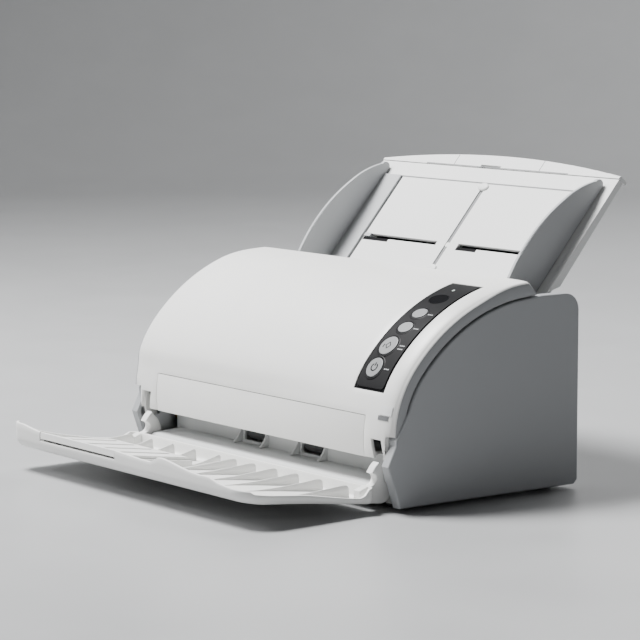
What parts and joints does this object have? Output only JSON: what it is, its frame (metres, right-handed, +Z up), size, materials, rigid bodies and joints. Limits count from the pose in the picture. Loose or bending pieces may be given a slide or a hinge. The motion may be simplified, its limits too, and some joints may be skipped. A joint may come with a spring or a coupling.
{
  "type": "sheet fed document scanner",
  "caption": "Compact sheet fed document scanner with a curved lift-up cover, leaning paper chute with sliding guides, and a fold-down output tray.",
  "frame": {"origin": "bottom centre of the whole assembly's bounding box, on the table under the rubber feet", "axes": "+Z up; -Y out of the front, where the output tray unfolds; +X to the right of somebody facing the front, the side with the keys"},
  "size_m": [0.301, 0.3342, 0.2145],
  "materials": {
    "white_shell": "fine satin moulded shell",
    "grey_shell": "light grey satin moulding",
    "chute_grey": "light grey fine texture",
    "dark_plastic": "dark moulding",
    "panel_black": "smooth black panel",
    "key_silver": "silver lacquered key",
    "window_black": "smoked display window",
    "light_green": "clear light guide",
    "badge_silver": "brushed blank badge",
    "roller_rubber": "roller rubber",
    "foot_rubber": "foot rubber",
    "steel": "plain steel",
    "bronze": "sintered bearing",
    "gear_white": "natural acetal",
    "scan_glass": "scanning glass",
    "board_green": "circuit board"
  },
  "bodies": {
    "base": {"left_side_panel": "white_shell", "right_side_panel": "white_shell", "base_pan": "white_shell", "rear_cover": "white_shell", "lower_guide": "grey_shell", "exit_apron": "grey_shell", "left_chassis_plate": "steel", "right_chassis_plate": "steel", "cover_pins": "steel", "shaft_bushes": "bronze", "lower_glass": "scan_glass", "lower_sensor": "dark_plastic", "main_board": "board_green", "power_jack": "dark_plastic", "data_port": "dark_plastic", "drive_motor": "steel", "rubber_feet": "foot_rubber", "base_screws": "steel", "idler_studs": "steel"},
    "pick_roll": {"pick_shaft": "steel", "pick_rollers": "roller_rubber", "pick_gear": "gear_white"},
    "feed_roll": {"feed_shaft": "steel", "feed_rollers": "roller_rubber", "feed_gear": "gear_white"},
    "eject_roll": {"eject_shaft": "steel", "eject_rollers": "roller_rubber", "eject_gear": "gear_white"},
    "pick_idler": {"pick_idler_gear": "gear_white"},
    "drive_idler": {"drive_idler_gear": "gear_white"},
    "motor_rotor": {"motor_pinion": "steel"},
    "cover": {"top_cover": "white_shell", "front_bezel": "white_shell", "upper_guide": "grey_shell", "upper_glass": "scan_glass", "upper_sensor": "dark_plastic", "control_panel": "panel_black", "display_window": "window_black", "status_light": "light_green", "badge_plate": "badge_silver"},
    "brake_roll": {"brake_roller": "roller_rubber"},
    "feed_pinch": {"feed_pinch_shaft": "steel", "feed_pinch_rollers": "roller_rubber"},
    "eject_pinch": {"eject_pinch_roller": "roller_rubber"},
    "power_key": {"power_button": "key_silver"},
    "scan_key": {"scan_button": "key_silver"},
    "send_key": {"send_button": "key_silver"},
    "function_key": {"function_button": "key_silver"},
    "stacker": {"stacker_tray": "white_shell", "stacker_pins": "steel"},
    "stacker_slip": {"stacker_extension": "white_shell"},
    "chute": {"chute_plate": "chute_grey", "chute_back_cover": "grey_shell", "groove_caps": "gear_white"},
    "chute_head": {"chute_extension": "chute_grey"},
    "left_guide": {"left_side_guide": "chute_grey", "left_rack": "gear_white"},
    "right_guide": {"right_side_guide": "chute_grey", "right_rack": "gear_white"},
    "sync_wheel": {"sync_pinion": "gear_white"}
  },
  "joints": [
    {"name": "cover_open", "type": "hinge", "parent": "base", "child": "cover", "pos_m": [0, -0.05003, 0.023], "axis": [1, 0, 0], "range_deg": [0, 58]},
    {"name": "stacker_fold", "type": "hinge", "parent": "base", "child": "stacker", "pos_m": [0, -0.05653, 0.0122], "axis": [1, 0, 0], "range_deg": [-62, 0]},
    {"name": "stacker_extend", "type": "slide", "parent": "stacker", "child": "stacker_slip", "axis": [0, -0.9912, 0.1323], "range_m": [0, 0.045]},
    {"name": "chute_lift_off", "type": "slide", "parent": "base", "child": "chute", "axis": [0, 0.6561, 0.7547], "range_m": [0, 0.04]},
    {"name": "chute_extend", "type": "slide", "parent": "chute", "child": "chute_head", "axis": [0, 0.6561, 0.7547], "range_m": [0, 0.06]},
    {"name": "left_guide_slide", "type": "slide", "parent": "chute", "child": "left_guide", "axis": [1, 0, 0], "range_m": [0, 0.075]},
    {"name": "right_guide_slide", "type": "slide", "parent": "chute", "child": "right_guide", "axis": [-1, 0, 0], "range_m": [0, 0.075]},
    {"name": "sync_wheel_turn", "type": "hinge", "parent": "chute", "child": "sync_wheel", "pos_m": [0, 0.10896, 0.15366], "axis": [0, 0.7547, -0.6561], "range_deg": [0, 574]},
    {"name": "feed_spin", "type": "hinge", "parent": "base", "child": "feed_roll", "pos_m": [0, 0.03847, 0.06592], "axis": [1, 0, 0], "continuous": true},
    {"name": "pick_spin", "type": "hinge", "parent": "base", "child": "pick_roll", "pos_m": [0, 0.06667, 0.0876], "axis": [1, 0, 0], "continuous": true},
    {"name": "eject_spin", "type": "hinge", "parent": "base", "child": "eject_roll", "pos_m": [0, -0.02953, 0.02712], "axis": [1, 0, 0], "continuous": true},
    {"name": "pick_idler_spin", "type": "hinge", "parent": "base", "child": "pick_idler", "pos_m": [0, 0.06046, 0.0665], "axis": [1, 0, 0], "continuous": true},
    {"name": "drive_idler_spin", "type": "hinge", "parent": "base", "child": "drive_idler", "pos_m": [0, 0.00855, 0.03937], "axis": [1, 0, 0], "continuous": true},
    {"name": "motor_spin", "type": "hinge", "parent": "base", "child": "motor_rotor", "pos_m": [0, 0.04278, 0.03209], "axis": [1, 0, 0], "continuous": true},
    {"name": "brake_spin", "type": "hinge", "parent": "cover", "child": "brake_roll", "pos_m": [0, 0.05084, 0.10186], "axis": [1, 0, 0], "continuous": true},
    {"name": "feed_pinch_spin", "type": "hinge", "parent": "cover", "child": "feed_pinch", "pos_m": [0, 0.02895, 0.07725], "axis": [1, 0, 0], "continuous": true},
    {"name": "eject_pinch_spin", "type": "hinge", "parent": "cover", "child": "eject_pinch", "pos_m": [0, -0.0344, 0.03917], "axis": [1, 0, 0], "continuous": true},
    {"name": "power_press", "type": "slide", "parent": "cover", "child": "power_key", "axis": [0, 0.8124, -0.5831], "range_m": [0, 0.0006], "stiffness_N_per_m": 400},
    {"name": "scan_press", "type": "slide", "parent": "cover", "child": "scan_key", "axis": [0, 0.7041, -0.7101], "range_m": [0, 0.0006], "stiffness_N_per_m": 400},
    {"name": "send_press", "type": "slide", "parent": "cover", "child": "send_key", "axis": [0, 0.6114, -0.7913], "range_m": [0, 0.0006], "stiffness_N_per_m": 400},
    {"name": "function_press", "type": "slide", "parent": "cover", "child": "function_key", "axis": [0, 0.5244, -0.8514], "range_m": [0, 0.0006], "stiffness_N_per_m": 400}
  ],
  "couplings": [
    {"joint": "pick_idler_spin", "follows": "feed_spin", "ratio": -1.2},
    {"joint": "pick_spin", "follows": "feed_spin", "ratio": 1},
    {"joint": "drive_idler_spin", "follows": "feed_spin", "ratio": -0.42857},
    {"joint": "eject_spin", "follows": "feed_spin", "ratio": 1},
    {"joint": "motor_spin", "follows": "feed_spin", "ratio": 1.7143},
    {"joint": "right_guide_slide", "follows": "left_guide_slide", "ratio": 1},
    {"joint": "sync_wheel_turn", "follows": "left_guide_slide", "rad_per_m": 133.33}
  ]
}
